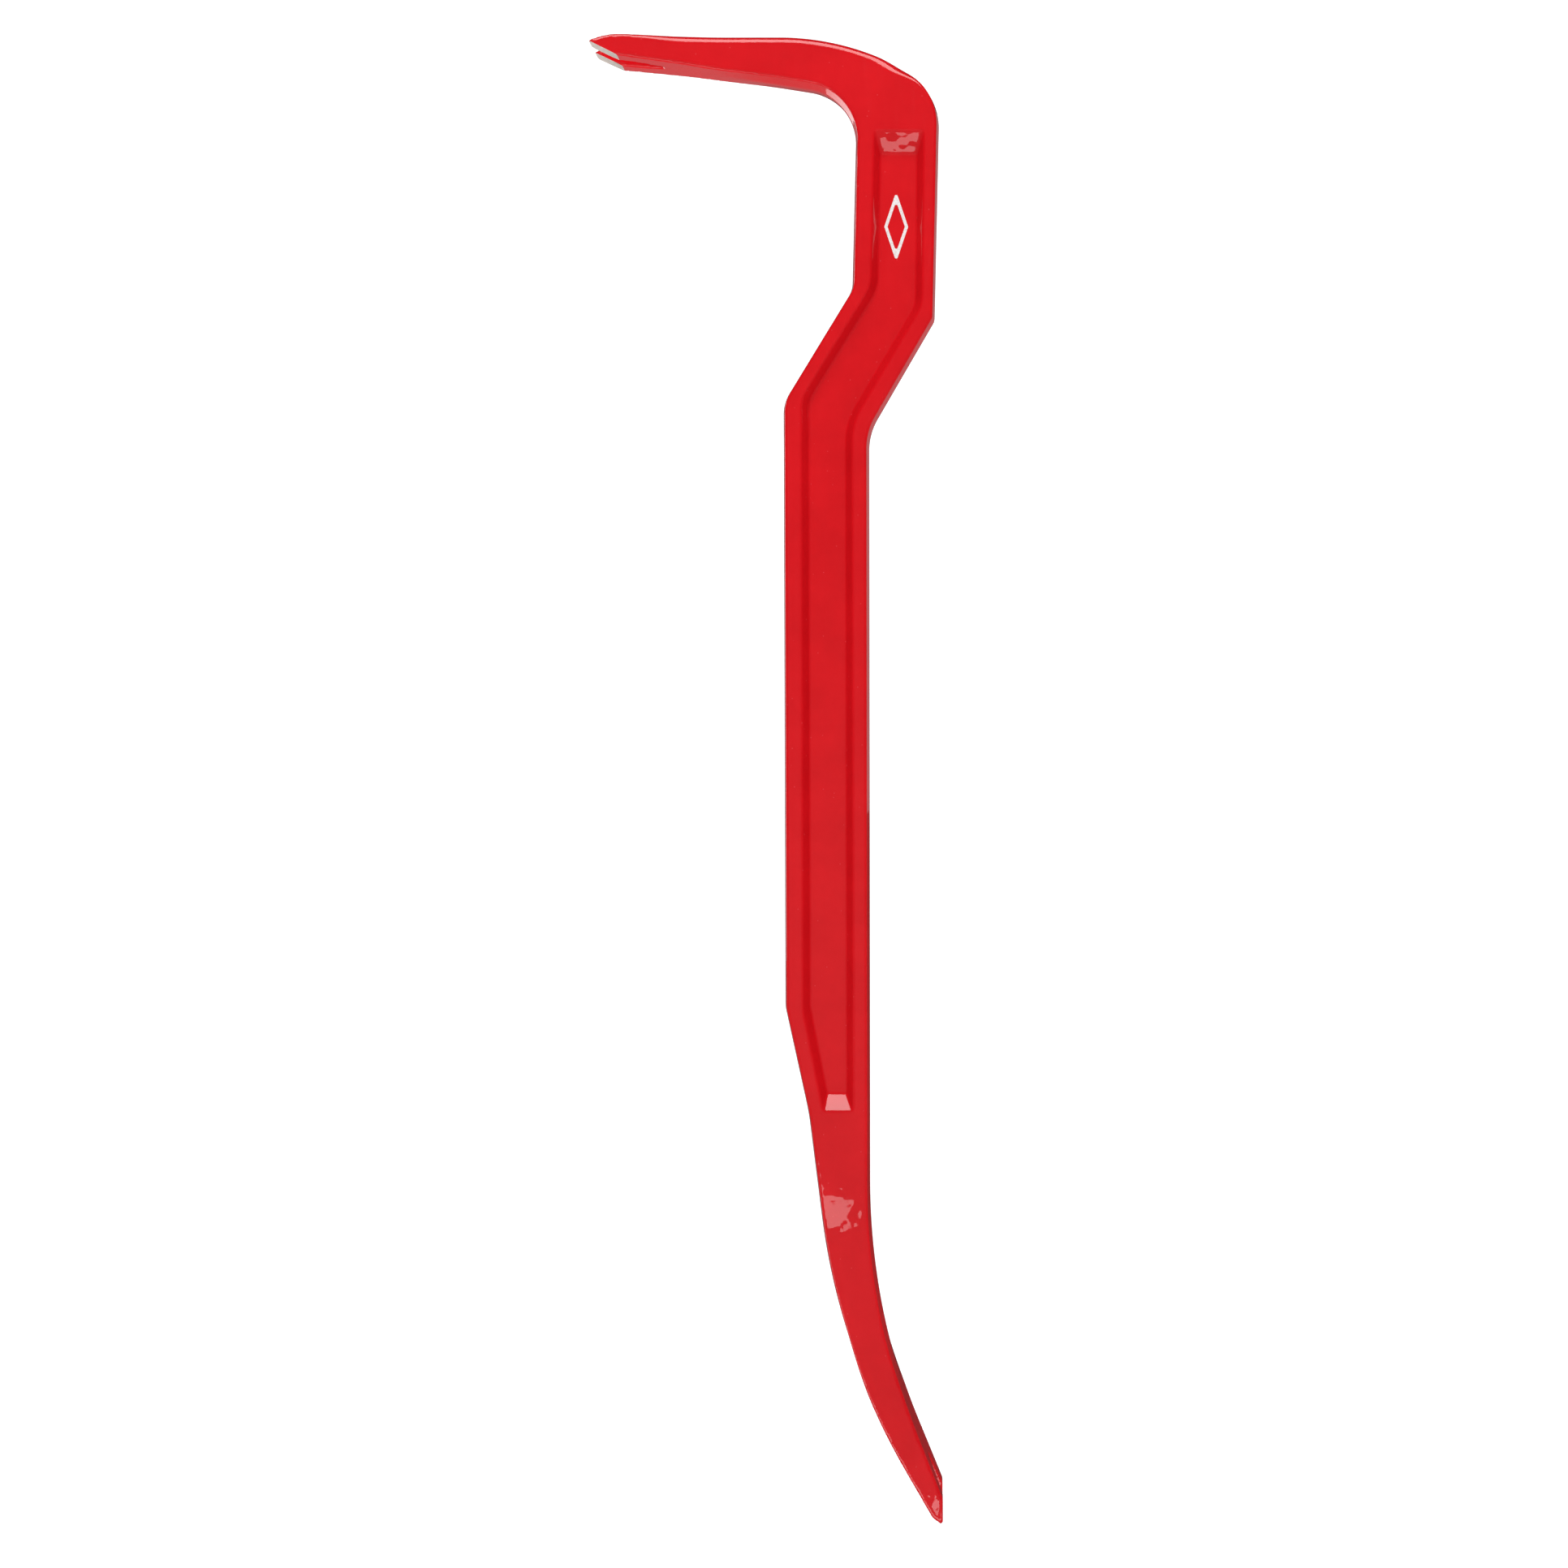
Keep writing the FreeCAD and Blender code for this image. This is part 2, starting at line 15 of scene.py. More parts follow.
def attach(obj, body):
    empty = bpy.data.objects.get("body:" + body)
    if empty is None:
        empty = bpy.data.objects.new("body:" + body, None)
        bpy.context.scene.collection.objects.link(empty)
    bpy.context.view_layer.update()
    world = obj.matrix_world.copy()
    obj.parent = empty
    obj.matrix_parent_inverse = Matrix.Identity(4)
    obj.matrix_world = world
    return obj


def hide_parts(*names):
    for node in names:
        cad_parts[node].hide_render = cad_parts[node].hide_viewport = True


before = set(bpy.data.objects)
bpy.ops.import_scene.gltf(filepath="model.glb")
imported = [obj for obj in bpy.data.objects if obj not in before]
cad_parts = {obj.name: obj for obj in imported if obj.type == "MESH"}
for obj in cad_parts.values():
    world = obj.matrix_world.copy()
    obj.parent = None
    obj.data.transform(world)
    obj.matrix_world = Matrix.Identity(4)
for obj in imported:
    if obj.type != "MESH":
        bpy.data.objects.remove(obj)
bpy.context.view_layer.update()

MM = 0.001

# ---------------------------------------------------------------- the bar's dimensions, in mm
HALF_WIDTH = 8.5
CLAW_HALF_WIDTH, CLAW_NECK_X, CLAW_TIP_X = 12.6, -39.0, -88.7
CHISEL_HALF_WIDTH, CHISEL_NECK_Z, CHISEL_TIP_Z = 13.0, -498.4, -583.3
DRAFT_SLOPE, FLASH_LAND = math.tan(math.radians(8)), 0.15
WEB_DEPTH, WALL_SLOPE = 4.5, 0.6
RECESS_TOP_Z, TOP_SLOPE = -17.4, 2.0
RECESS_FOOT_Z, FOOT_SLOPE = -413.0, 1.47
GRIND_TIP_Z, GRIND_SLOPE = 16.5, 0.474
CLAW_UNDER_Z, CLAW_RAKE = 12.5, 0.117
HOOK_FOOT_Z = -60.0

# Where one kind of side or edge gives way to the next: the ranges of X, Z or height it takes.
HOOK_STARTS_Z, CHISEL_ENDS_DRAFT_Z = (-22, 4), (-535, -500)
INNER_BEND_X, INNER_BEND_DEPTH, INNER_BEND_TOP_Z = (-45, -12), (0, 6), 12
CREST_ABOVE_UNDERSIDE, CREST_Z, CREST_X = (3, 8), (-14, 4), (-80, -50)
DRAFT_BLEND, FLARE_BLEND = 0.08, 5

# Outlines as corners with a radius, clockwise. The side view is X and Z.
SIDE_VIEW = [
    (-88.7, 16.6, 0.3), (-82.2, 19.5, 30), (13.6, 19.5, 104), (50.9, -0.9, 24), (48.9, -92, 4),
    (22.35, -137.3, 25), (22.35, -496.8, 280), (52.3, -572.4, 0.6), (52.3, -583.3, 0.3),
    (48, -580, 0.8), (9.2, -513.3, 270), (-2.9, -414.9, 100), (-12.35, -371, 15),
    (-12.35, -125.1, 16), (15.6, -79.8, 10), (17.6, -2.6, 22), (-50, 7.97, 300), (-88.7, 12.5, 0.3),
]
RECESS_SIDES = [
    (25, 0, 1), (44.8, 0, 1), (43.9, -87.1, 15), (15.75, -134.2, 25), (15.75, -430, 1),
    (6.56, -430, 1), (-4.75, -371, 15), (-4.75, -123.9, 15), (23.2, -79, 15),
]
CLAW_SLOT = [(-55, 0, 1.2), (-72.5, -3.22, 60), (-103.7, -3.5, 1), (-103.7, 3.5, 1), (-72.5, 3.22, 60)]
CHISEL_SLOT = [(0, -555.1, 1.2), (12, -600, 1), (-12, -600, 1)]

EDGE_RADIUS, HOOK_EDGE_RADIUS, SLOT_EDGE_RADIUS = 0.6, 3.0, 0.5
MOUTH_RADIUS, FLOOR_RADIUS, END_RADIUS = 0.3, 0.4, 0.8

# The meshes: voxels, how far the steel lies under the skin, and where the prongs' cuts reach.
VOXEL, CORE_DEPTH = 0.6, 1.0
GRIND_REACH_X, CORE_END_X = -74, -76
WEDGE_PROFILE, WEDGE_SIDES = [(-88.5, 12.7), (-88.4, 16.4), (-77.5, 11.5), (-77, 11.2)], (3.8, 11.6)

# The distance to a slot that is nowhere near, and the step that slopes are measured over.
FAR, STEP = 99.0, 0.01


# ---------------------------------------------------------------- distances, in mm
def runs_and_arcs(corners):
    """The straight runs and the tangent arcs of a clockwise outline."""
    points = [np.array(c[:2], float) for c in corners]
    count, touches, arcs = len(points), [], []
    for i, corner in enumerate(points):
        back, ahead = points[i - 1] - corner, points[(i + 1) % count] - corner
        back, ahead = back / np.linalg.norm(back), ahead / np.linalg.norm(ahead)
        half = math.acos(np.clip(back @ ahead, -1, 1)) / 2
        run = corners[i][2] / math.tan(half)
        middle = (back + ahead) / np.linalg.norm(back + ahead)
        centre = corner + middle * corners[i][2] / math.sin(half)
        convex = (-back[0] * ahead[1] + back[1] * ahead[0]) < 0
        arcs.append((centre, corners[i][2], -middle, math.pi / 2 - half, 1.0 if convex else -1.0))
        touches.append((corner + back * run, corner + ahead * run))
    runs = [(touches[i][1], touches[(i + 1) % count][0]) for i in range(count)]
    return runs, arcs


def outline_distance(shape, u, v):
    """Signed distance to an outline, negative inside."""
    runs, arcs = shape
    best = np.full(u.shape, 1e9)
    signed = np.zeros(u.shape)
    for a, b in runs:
        along = (b - a) / np.linalg.norm(b - a)
        s = np.clip((u - a[0]) * along[0] + (v - a[1]) * along[1], 0, np.linalg.norm(b - a))
        du, dv = u - a[0] - s * along[0], v - a[1] - s * along[1]
        gap = np.hypot(du, dv)
        near = gap < best
        best = np.where(near, gap, best)
        side = (v - a[1]) * along[0] - (u - a[0]) * along[1]
        signed = np.where(near, np.copysign(gap, side), signed)
    for centre, radius, middle, half, turn in arcs:
        du, dv = u - centre[0], v - centre[1]
        reach = np.hypot(du, dv) + 1e-9
        on_arc = (du * middle[0] + dv * middle[1]) / reach >= math.cos(half) - 1e-6
        gap = np.abs(reach - radius)
        near = on_arc & (gap < best)
        best = np.where(near, gap, best)
        signed = np.where(near, turn * (reach - radius), signed)
    return signed


def both(a, b, radius):
    """The overlap of two solids, its outer edge rounded."""
    over = np.hypot(np.maximum(a + radius, 0), np.maximum(b + radius, 0))
    return np.minimum(np.maximum(a, b), -radius) + over


def ramp(x, low, high):
    t = np.clip((x - low) / (high - low), 0, 1)
    return t * t * (3 - 2 * t)


def bend(x, width):
    """Zero below 0, x above it, with a soft bend this wide."""
    return np.where(x > width, x, np.where(x < -width, 0, (x + width) ** 2 / (4 * width)))


SHAPES = {
    "side": runs_and_arcs(SIDE_VIEW),
    "recess": runs_and_arcs(RECESS_SIDES),
    "claw": runs_and_arcs(CLAW_SLOT),
    "chisel": runs_and_arcs(CHISEL_SLOT),
}


def solid(p):
    """Rough distance to the painted bar, before the claw is ground. Negative inside."""
    x, y, z = p[:, 0], np.abs(p[:, 1]), p[:, 2]
    above = z - (CLAW_UNDER_Z + CLAW_RAKE * (CLAW_TIP_X - x))
    inner_bend = ramp(x, *INNER_BEND_X) * ramp(INNER_BEND_TOP_Z - z, *INNER_BEND_DEPTH)
    drafted = ramp(z, *CHISEL_ENDS_DRAFT_Z) * (1 - ramp(z, *HOOK_STARTS_Z) * (1 - inner_bend))
    draft = drafted * bend(y * DRAFT_SLOPE - FLASH_LAND, DRAFT_BLEND)
    side = outline_distance(SHAPES["side"], x, z) + draft
    claw_flare = (CLAW_HALF_WIDTH - HALF_WIDTH) / (CLAW_NECK_X - CLAW_TIP_X)
    chisel_flare = (CHISEL_HALF_WIDTH - HALF_WIDTH) / (CHISEL_NECK_Z - CHISEL_TIP_Z)
    width = HALF_WIDTH + chisel_flare * bend(CHISEL_NECK_Z - z, FLARE_BLEND)
    width = width + np.where(z > HOOK_FOOT_Z, claw_flare * bend(CLAW_NECK_X - x, FLARE_BLEND), 0)
    depth = HALF_WIDTH - y
    walls = (outline_distance(SHAPES["recess"], x, z) + WALL_SLOPE * depth) / math.hypot(1, WALL_SLOPE)
    top = (z - RECESS_TOP_Z + TOP_SLOPE * depth) / math.hypot(1, TOP_SLOPE)
    foot = (RECESS_FOOT_Z - z + FOOT_SLOPE * depth) / math.hypot(1, FOOT_SLOPE)
    recess = both(both(walls, top, END_RADIUS), foot, END_RADIUS)
    recess = both(recess, depth - WEB_DEPTH, FLOOR_RADIUS)
    faced = both(y - width, -recess, MOUTH_RADIUS)
    at_crest = ramp(above, *CREST_ABOVE_UNDERSIDE) * ramp(z, *CREST_Z) * ramp(x, *CREST_X)
    radius = EDGE_RADIUS + (HOOK_EDGE_RADIUS - EDGE_RADIUS) * at_crest
    whole = both(side, faced, radius)
    claw = np.where(z > HOOK_FOOT_Z, -outline_distance(SHAPES["claw"], x, p[:, 1]), -FAR)
    chisel = np.where(z < CHISEL_NECK_Z, -outline_distance(SHAPES["chisel"], p[:, 1], z), -FAR)
    return both(both(whole, claw, SLOT_EDGE_RADIUS), chisel, SLOT_EDGE_RADIUS)


def settle(p, rounds):
    """Moves points on to the solid's surface; returns them and the surface's normals there."""
    for _ in range(rounds):
        value = solid(p)
        slope = np.empty(p.shape)
        for axis in range(3):
            step = np.zeros(3)
            step[axis] = STEP
            slope[:, axis] = (solid(p + step) - value) / STEP
        size = np.maximum((slope ** 2).sum(axis=1), 0.2)
        move = -value / size
        p = p + slope * np.clip(move, -1, 1)[:, None]
    return p, slope / np.linalg.norm(slope, axis=1)[:, None]


# ---------------------------------------------------------------- meshes
def points_of(mesh):
    found = np.empty(len(mesh.vertices) * 3)
    mesh.vertices.foreach_get("co", found)
    return found.reshape(-1, 3)


def set_points(mesh, points):
    mesh.vertices.foreach_set("co", points.astype(np.float32).ravel())
    mesh.update()


def evened(mesh, points, rounds):
    """Points moved half-way towards the middle of their neighbours."""
    edges = np.empty(len(mesh.edges) * 2, np.int64)
    mesh.edges.foreach_get("vertices", edges)
    first, last = edges.reshape(-1, 2).T
    count = np.bincount(np.concatenate([first, last]), minlength=len(points))
    for _ in range(rounds):
        middle = np.empty_like(points)
        for axis in range(3):
            middle[:, axis] = np.bincount(first, points[last, axis], len(points))
            middle[:, axis] += np.bincount(last, points[first, axis], len(points))
        points = points + 0.5 * (middle / count[:, None] - points)
    return points


def add_wedge(build, side):
    """Gives a prong back the wedge that was ground from it."""
    corners = [
        [build.verts.new((x * MM, side * y * MM, z * MM)) for x, z in WEDGE_PROFILE]
        for y in WEDGE_SIDES
    ]
    build.faces.new(corners[0])
    build.faces.new(corners[1][::-1])
    for i in range(len(WEDGE_PROFILE)):
        j = (i + 1) % len(WEDGE_PROFILE)
        build.faces.new((corners[0][j], corners[0][i], corners[1][i], corners[1][j]))


def shell_mesh():
    """A fine, even mesh of the whole painted bar, with its true arcs and rounded edges."""
    build = bmesh.new()
    build.from_mesh(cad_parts["forged_bar"].data)
    bmesh.ops.remove_doubles(build, verts=build.verts, dist=1e-6)
    for side in (-1, 1):
        add_wedge(build, side)
    bmesh.ops.recalc_face_normals(build, faces=build.faces)
    rough = bpy.data.meshes.new("rough")
    build.to_mesh(rough)
    build.free()
    holder = bpy.data.objects.new("rough", rough)
    bpy.context.scene.collection.objects.link(holder)
    remesh = holder.modifiers.new("remesh", "REMESH")
    remesh.mode = "VOXEL"
    remesh.voxel_size = VOXEL * MM
    depsgraph = bpy.context.evaluated_depsgraph_get()
    mesh = bpy.data.meshes.new_from_object(holder.evaluated_get(depsgraph))
    bpy.data.objects.remove(holder)
    bpy.data.meshes.remove(rough)
    points, _ = settle(points_of(mesh) / MM, 3)
    points, _ = settle(evened(mesh, points, 3), 2)
    points = evened(mesh, points, 1)
    set_points(mesh, points * MM)
    return mesh


def waved(points, normals):
    """The slight unevenness of a hammered forging under its enamel: small heights over long waves."""
    lifts = [
        0.02 * noise.noise(Vector(p / 17)) + 0.006 * noise.noise(Vector(p / 6) + Vector((9, 4, 2)))
        for p in points
    ]
    # The recess's two end walls are rougher.
    tops, feet = points[:, 2] - RECESS_TOP_Z + 4, points[:, 2] - RECESS_FOOT_Z - 4
    at_end_walls = np.exp(-(tops / 4) ** 2) + 3 * np.exp(-(feet / 3) ** 2)
    at_end_walls *= ramp(np.abs(normals[:, 2]), 0.2, 0.4) * ramp(np.abs(normals[:, 1]), 0.6, 0.8)
    uneven = [0.05 * noise.noise(Vector(p / 4)) if w > 0.01 else 0 for p, w in zip(points, at_end_walls)]
    return points + normals * (np.array(lifts) + at_end_walls * np.array(uneven))[:, None]


def object_of(name, mesh):
    made = bpy.data.objects.new(name, mesh)
    bpy.context.scene.collection.objects.link(made)
    for polygon in mesh.polygons:
        polygon.use_smooth = True
    return made


def grind(mesh):
    """Cuts the bevel under both prongs; returns the flat faces it lays bare, as a mesh."""
    build = bmesh.new()
    build.from_mesh(mesh)
    near = [f for f in build.faces if all(v.co.x < GRIND_REACH_X * MM for v in f.verts)]
    geometry = near + list({e for f in near for e in f.edges}) + list({v for f in near for v in f.verts})
    tip = Vector((CLAW_TIP_X, 0, GRIND_TIP_Z)) * MM
    bmesh.ops.bisect_plane(
        build, geom=geometry, plane_co=tip, plane_no=(-GRIND_SLOPE, 0, -1), clear_outer=True
    )
    rim = [e for e in build.edges if e.is_boundary]
    flat = bmesh.ops.holes_fill(build, edges=rim)["faces"]
    bare = bmesh.new()
    for face in flat:
        bare.faces.new([bare.verts.new(v.co) for v in face.verts])
    bmesh.ops.triangulate(bare, faces=bare.faces)
    ground = bpy.data.meshes.new("ground")
    bare.to_mesh(ground)
    bare.free()
    bmesh.ops.delete(build, geom=flat, context="FACES_ONLY")
    build.to_mesh(mesh)
    build.free()
    return ground


def core_mesh(ground):
    """The steel bar inside the enamel, together with the faces ground bare."""
    build = bmesh.new()
    build.from_mesh(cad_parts["forged_bar"].data)
    bmesh.ops.remove_doubles(build, verts=build.verts, dist=1e-6)
    everything = build.faces[:] + build.edges[:] + build.verts[:]
    end = (CORE_END_X * MM, 0, 0)
    bmesh.ops.bisect_plane(build, geom=everything, plane_co=end, plane_no=(-1, 0, 0), clear_outer=True)
    bmesh.ops.holes_fill(build, edges=[e for e in build.edges if e.is_boundary])
    bmesh.ops.triangulate(build, faces=build.faces)
    core = bpy.data.meshes.new("core")
    build.to_mesh(core)
    points = points_of(core) / MM
    for _ in range(4):
        excess = np.maximum(solid(points) + CORE_DEPTH, 0)
        _, normals = settle(points, 1)
        points = points - normals * excess[:, None]
    set_points(core, points * MM)
    build.clear()
    build.from_mesh(core)
    build.from_mesh(ground)
    build.to_mesh(core)
    build.free()
    return core


# ---------------------------------------------------------------- materials
def node_material(name):
    made = bpy.data.materials.new(name)
    made.use_nodes = True
    return made, made.node_tree, made.node_tree.nodes["Principled BSDF"]


def texture(tree, kind, stretch=(1, 1, 1), turn=(0, 0, 0), **inputs):
    """A procedural texture over the object's own coordinates, in metres."""
    place = tree.nodes.new("ShaderNodeTexCoord")
    mapping = tree.nodes.new("ShaderNodeMapping")
    mapping.inputs["Scale"].default_value = stretch
    mapping.inputs["Rotation"].default_value = turn
    made = tree.nodes.new(kind)
    tree.links.new(place.outputs["Object"], mapping.inputs["Vector"])
    tree.links.new(mapping.outputs["Vector"], made.inputs["Vector"])
    for name, value in inputs.items():
        made.inputs[name].default_value = value
    return made


def ramped(tree, source, low, high, first, last):
    """A number that runs from first to last as the source runs from low to high."""
    made = tree.nodes.new("ShaderNodeMapRange")
    made.inputs["From Min"].default_value = low
    made.inputs["From Max"].default_value = high
    made.inputs["To Min"].default_value = first
    made.inputs["To Max"].default_value = last
    tree.links.new(source, made.inputs["Value"])
    return made.outputs["Result"]


def mixed(tree, factor, first, last):
    """Two colours, or a socket and a colour, mixed by a number."""
    made = tree.nodes.new("ShaderNodeMix")
    made.data_type = "RGBA"
    tree.links.new(factor, made.inputs["Factor"])
    for name, value in (("A", first), ("B", last)):
        socket = next(s for s in made.inputs if s.name == name and s.type == "RGBA")
        if isinstance(value, tuple):
            socket.default_value = (*value, 1)
        else:
            tree.links.new(value, socket)
    return next(s for s in made.outputs if s.type == "RGBA")


def bumped(tree, shader, layers, socket="Normal"):
    """Stacks bumps: each layer is (height socket, strength, depth in metres)."""
    normal = None
    for height, strength, depth in layers:
        bump = tree.nodes.new("ShaderNodeBump")
        bump.inputs["Strength"].default_value = strength
        bump.inputs["Distance"].default_value = depth
        tree.links.new(height, bump.inputs["Height"])
        if normal is not None:
            tree.links.new(normal, bump.inputs["Normal"])
        normal = bump.outputs["Normal"]
    tree.links.new(normal, shader.inputs[socket])


def enamel():
    made, tree, shader = node_material("red_enamel")
    cloud = texture(tree, "ShaderNodeTexNoise", Scale=55.0, Detail=4.0, Roughness=0.6)
    peel = texture(tree, "ShaderNodeTexNoise", Scale=300.0, Detail=0.0)
    ripple = texture(tree, "ShaderNodeTexNoise", Scale=110.0, Detail=1.0)
    hairs = texture(tree, "ShaderNodeTexNoise", (1, 1, 0.04), (0.1, 0.25, 0), Scale=1500.0, Detail=2.0)
    specks = texture(tree, "ShaderNodeTexVoronoi", Scale=260.0)
    fade = ramped(tree, cloud.outputs["Fac"], 0.3, 0.7, 0.0, 1.0)
    red = mixed(tree, fade, (0.61, 0.0042, 0.0085), (0.68, 0.0055, 0.0105))
    dust = ramped(tree, specks.outputs["Distance"], 0.03, 0.07, 1.0, 0.0)
    tree.links.new(mixed(tree, dust, red, (0.72, 0.06, 0.07)), shader.inputs["Base Color"])
    rough = ramped(tree, hairs.outputs["Fac"], 0.55, 0.8, 0.3, 0.5)
    tree.links.new(rough, shader.inputs["Roughness"])
    shader.inputs["Specular IOR Level"].default_value = 0.1
    shader.inputs["Coat Weight"].default_value = 0.9
    shader.inputs["Coat Roughness"].default_value = 0.02
    shader.inputs["Coat IOR"].default_value = 1.5
    layers = [
        (ripple.outputs["Fac"], 0.05, 0.0003),
        (peel.outputs["Fac"], 0.3, 0.0001),
        (hairs.outputs["Fac"], 0.05, 0.00005),
    ]
    bumped(tree, shader, layers)
    bumped(tree, shader, layers[:2], "Coat Normal")
    return made


def steel():
    made, tree, shader = node_material("ground_steel")
    lines = texture(tree, "ShaderNodeTexNoise", (0.03, 1, 0.03), (0, 0.42, 0), Scale=4200.0, Detail=3.0)
    stain = texture(tree, "ShaderNodeTexNoise", Scale=300.0, Detail=4.0)
    shade = ramped(tree, lines.outputs["Fac"], 0.3, 0.7, 0.0, 1.0)
    bright = mixed(tree, shade, (0.68, 0.59, 0.52), (0.94, 0.83, 0.75))
    warm = ramped(tree, stain.outputs["Fac"], 0.5, 0.75, 0.0, 0.6)
    tree.links.new(mixed(tree, warm, bright, (0.55, 0.47, 0.40)), shader.inputs["Base Color"])
    shader.inputs["Metallic"].default_value = 1.0
    tree.links.new(ramped(tree, lines.outputs["Fac"], 0.3, 0.7, 0.28, 0.5), shader.inputs["Roughness"])
    bumped(tree, shader, [(lines.outputs["Fac"], 0.4, 0.00004)])
    return made


def ink():
    made, tree, shader = node_material("white_print")
    grain = texture(tree, "ShaderNodeTexNoise", Scale=1800.0, Detail=3.0)
    worn = ramped(tree, grain.outputs["Fac"], 0.35, 0.7, 0.0, 1.0)
    tree.links.new(mixed(tree, worn, (0.86, 0.85, 0.84), (0.7, 0.62, 0.61)), shader.inputs["Base Color"])
    tree.links.new(ramped(tree, grain.outputs["Fac"], 0.3, 0.7, 0.35, 0.55), shader.inputs["Roughness"])
    bumped(tree, shader, [(grain.outputs["Fac"], 0.3, 0.00002)])
    return made


def pale(name, colour, glow):
    made, tree, shader = node_material(name)
    shader.inputs["Base Color"].default_value = (*colour, 1)
    shader.inputs["Roughness"].default_value = 0.9
    shader.inputs["Emission Color"].default_value = (1, 1, 1, 1)
    shader.inputs["Emission Strength"].default_value = glow
    return made


# ---------------------------------------------------------------- the bar
shell = shell_mesh()
flat = points_of(shell) / MM
_, outward = settle(flat, 1)
set_points(shell, waved(flat, outward) * MM)
ground = grind(shell)
skin = object_of("enamel_skin", shell)
skin.data.materials.append(enamel())
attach(skin, "root")
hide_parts("enamel_coat")

bar = object_of("steel_bar", core_mesh(ground))
bar.data.materials.append(steel())
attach(bar, "root")
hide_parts("forged_bar")

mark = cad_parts["printed_mark"]
mark.data.materials.clear()
mark.data.materials.append(ink())


# ---------------------------------------------------------------- camera
LENS, SENSOR, SHIFT_X, SHIFT_Y, PITCH = 47.05, 36.0, -0.092, -0.016, math.radians(2.5)
EYE = Vector((0.0463, -0.837, -0.2329))

camera = bpy.data.cameras.new("camera")
camera.sensor_width, camera.lens = SENSOR, LENS
camera.shift_x, camera.shift_y = SHIFT_X, SHIFT_Y
eye = bpy.data.objects.new("camera", camera)
bpy.context.scene.collection.objects.link(eye)
eye.rotation_euler = (math.pi / 2 - PITCH, 0, 0)
eye.location = EYE
bpy.context.scene.camera = eye


# ---------------------------------------------------------------- studio, in metres
FLOOR_Z, FLOOR_FRONT_Y, FLOOR_HALF_WIDTH = -0.75, -5.0, 5
SWEEP_Y, SWEEP_RADIUS, BACKDROP_TOP = 1.2, 1, 3.5
MIDDLE = (0, 0, -0.28)


def lamp(name, at, size, size_y, power, mirrored=False):
    """A lamp aimed at the bar's middle; the enamel mirrors it only when asked to."""
    data = bpy.data.lights.new(name, "AREA")
    data.shape = "RECTANGLE"
    data.size, data.size_y, data.energy = size, size_y, power
    made = bpy.data.objects.new(name, data)
    made.visible_glossy = mirrored
    bpy.context.scene.collection.objects.link(made)
    made.location = at
    made.rotation_euler = (Vector(MIDDLE) - Vector(at)).to_track_quat("-Z", "Y").to_euler()


def card(name, at, size, size_y, glow, towards=MIDDLE):
    """A glowing card that the enamel mirrors, out of the camera's sight."""
    build = bmesh.new()
    bmesh.ops.create_grid(build, x_segments=1, y_segments=1, size=0.5)
    mesh = bpy.data.meshes.new(name)
    build.to_mesh(mesh)
    build.free()
    made = object_of(name, mesh)
    made.scale = (size, size_y, 1)
    made.location = at
    made.rotation_euler = (Vector(towards) - Vector(at)).to_track_quat("Z", "Y").to_euler()
    mesh.materials.append(pale(name, (0, 0, 0), glow))
    made.visible_camera = made.visible_diffuse = made.visible_shadow = False


def floor():
    """A pale floor that sweeps up into a backdrop behind the bar."""
    depths = [(FLOOR_FRONT_Y, FLOOR_Z), (SWEEP_Y, FLOOR_Z)]
    for a in np.linspace(0.1, math.pi / 2, 16):
        rise = SWEEP_RADIUS * (1 - math.cos(a))
        depths.append((SWEEP_Y + SWEEP_RADIUS * math.sin(a), FLOOR_Z + rise))
    depths.append((SWEEP_Y + SWEEP_RADIUS, FLOOR_Z + BACKDROP_TOP))
    build = bmesh.new()
    sides = (-FLOOR_HALF_WIDTH, FLOOR_HALF_WIDTH)
    rows = [[build.verts.new((x, y, z)) for x in sides] for y, z in depths]
    for low, high in zip(rows, rows[1:]):
        build.faces.new((low[0], low[1], high[1], high[0]))
    mesh = bpy.data.meshes.new("floor")
    build.to_mesh(mesh)
    build.free()
    made = object_of("floor", mesh)
    mesh.materials.append(pale("floor", (0.3, 0.3, 0.3), 1.0))
    made.visible_glossy = False


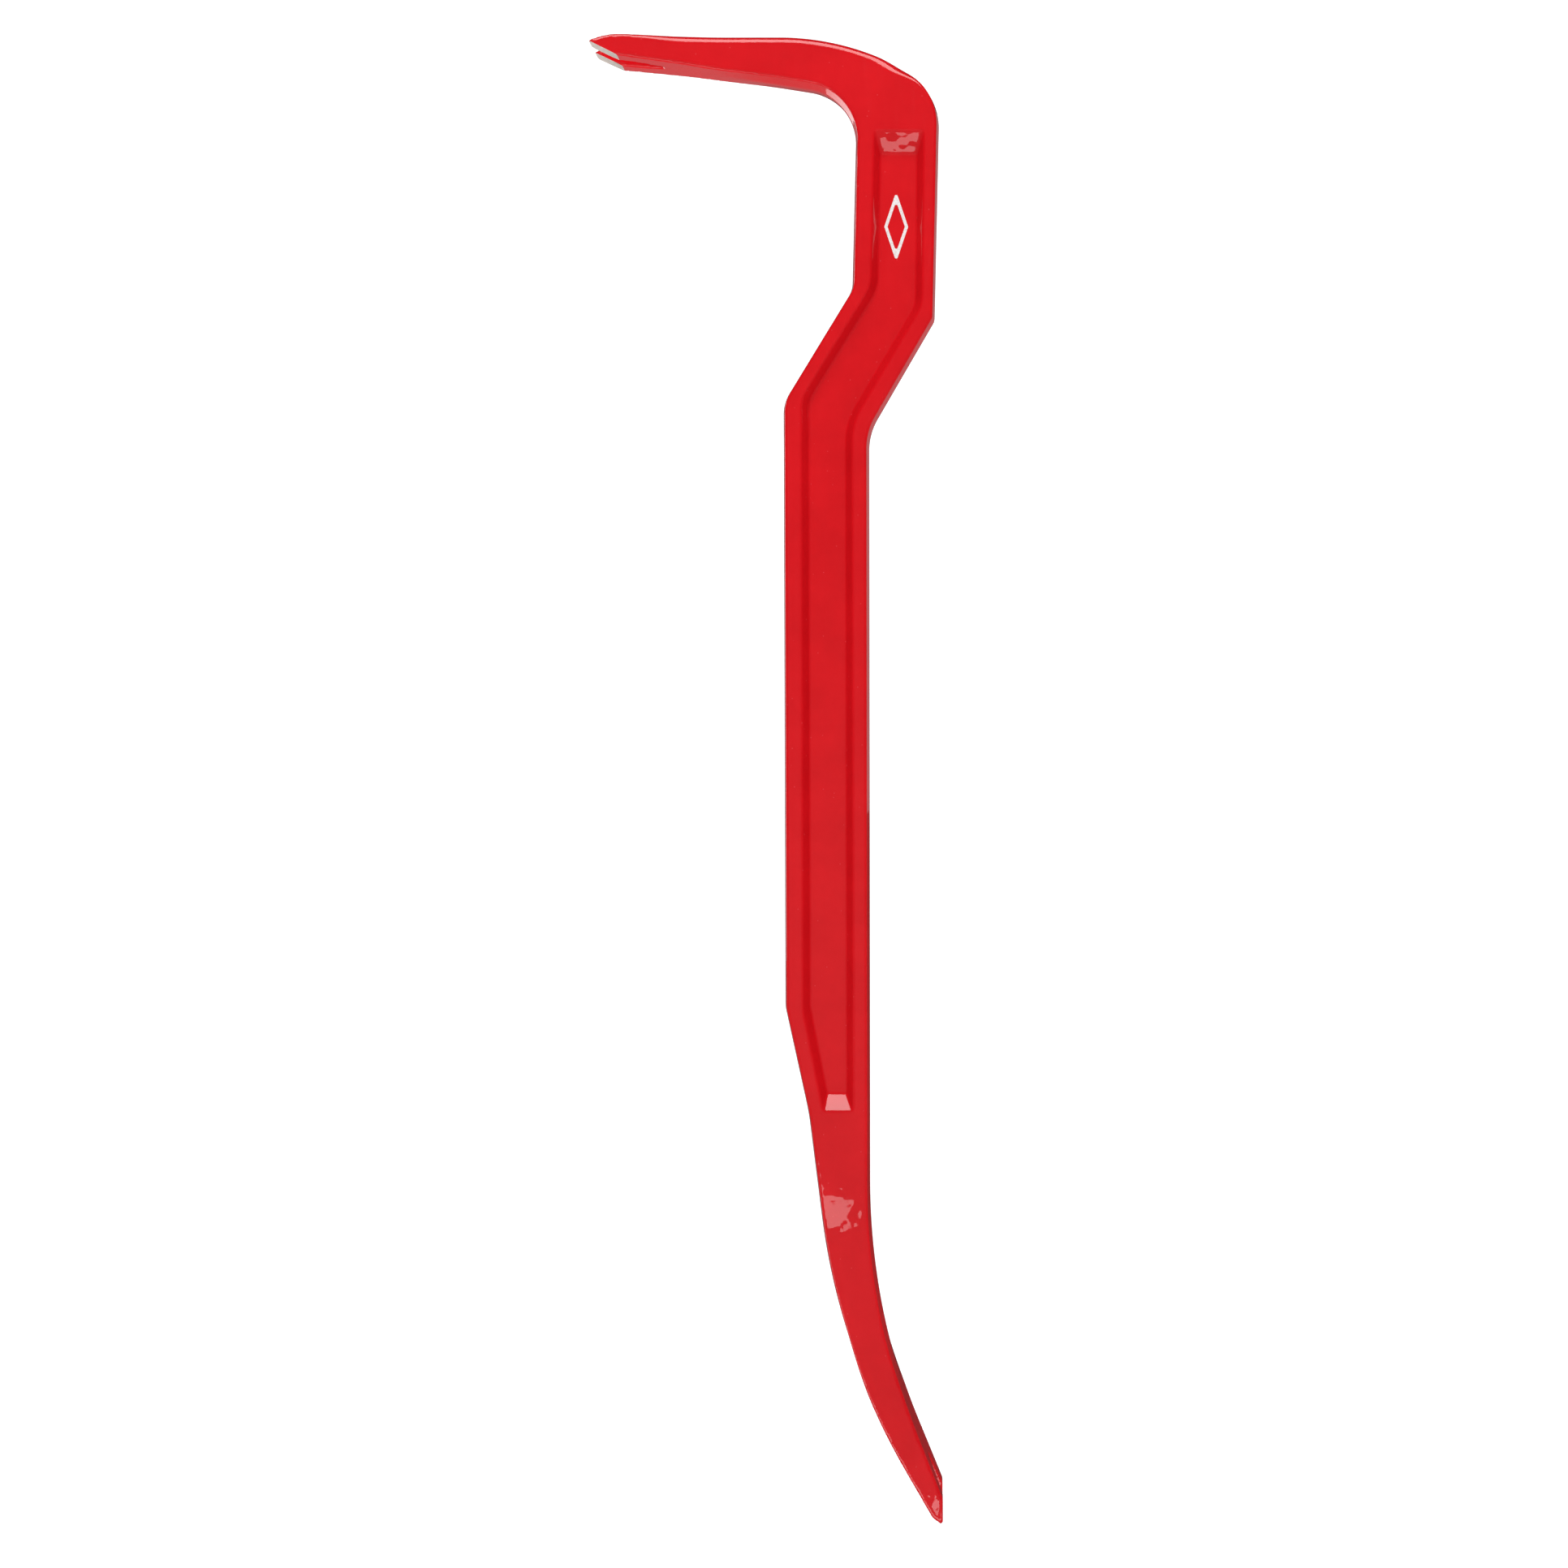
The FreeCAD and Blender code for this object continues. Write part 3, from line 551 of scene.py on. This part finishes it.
def studio_world():
    """White where the camera looks past the bar, and dim for everything else."""
    world = bpy.data.worlds.new("studio")
    world.use_nodes = True
    tree = world.node_tree
    dim = tree.nodes["Background"]
    dim.inputs["Color"].default_value = (1, 1, 1, 1)
    dim.inputs["Strength"].default_value = 0.03
    white = tree.nodes.new("ShaderNodeBackground")
    white.inputs["Strength"].default_value = 1.0
    white.inputs["Color"].default_value = (1, 1, 1, 1)
    path = tree.nodes.new("ShaderNodeLightPath")
    mix = tree.nodes.new("ShaderNodeMixShader")
    tree.links.new(path.outputs["Is Camera Ray"], mix.inputs[0])
    tree.links.new(dim.outputs[0], mix.inputs[1])
    tree.links.new(white.outputs[0], mix.inputs[2])
    tree.links.new(mix.outputs[0], tree.nodes["World Output"].inputs["Surface"])
    bpy.context.scene.world = world


floor()
studio_world()
# Light for all sides; the enamel mirrors the softbox alone.
lamp("softbox", (0, -0.98, 1.31), 1.3, 1.2, 28.5, mirrored=True)
lamp("front", (0, -1.6, -0.6), 1.0, 0.6, 4.2)
lamp("right", (1.5, 0.3, -0.1), 0.9, 1.4, 6)
lamp("left", (-1.5, 0.3, -0.1), 0.9, 1.4, 6)
# What the enamel mirrors: dim cards in front and behind, for the flat sides and the edges.
card("behind_camera", (0, -1.6, -0.35), 1.6, 1.8, 0.12)
card("back_left", (-0.25, 1.2, -0.6), 0.5, 1.2, 0.2, (-0.25, 0, -0.6))
card("back_left_high", (-0.25, 1.2, 0.4), 0.5, 0.8, 0.12, (-0.25, 0, 0.4))
card("back_far_left", (-0.86, 1.1, -0.1), 0.85, 0.9, 1.5, (-0.1, 0, 0))
card("back_right", (0.55, 1.2, 0.1), 0.6, 0.96, 0.25, (0.55, 0, 0.1))
# Small bright cards, for the patches on the blade, the hook's lower edge, the recess and the tip.
card("low_front", (-0.0775, -0.5, -0.59), 0.145, 0.022, 3.2)
card("under", (-0.15, -0.23, -0.74), 1.1, 0.2, 3.0, (-0.15, -0.23, 0))
card("low_far", (0, -2, -1.63), 0.25, 0.18, 3.0)
card("low_tip", (0.06, -0.9, -0.845), 0.02, 0.03, 4.0)
bpy.context.scene.view_settings.view_transform = "Standard"
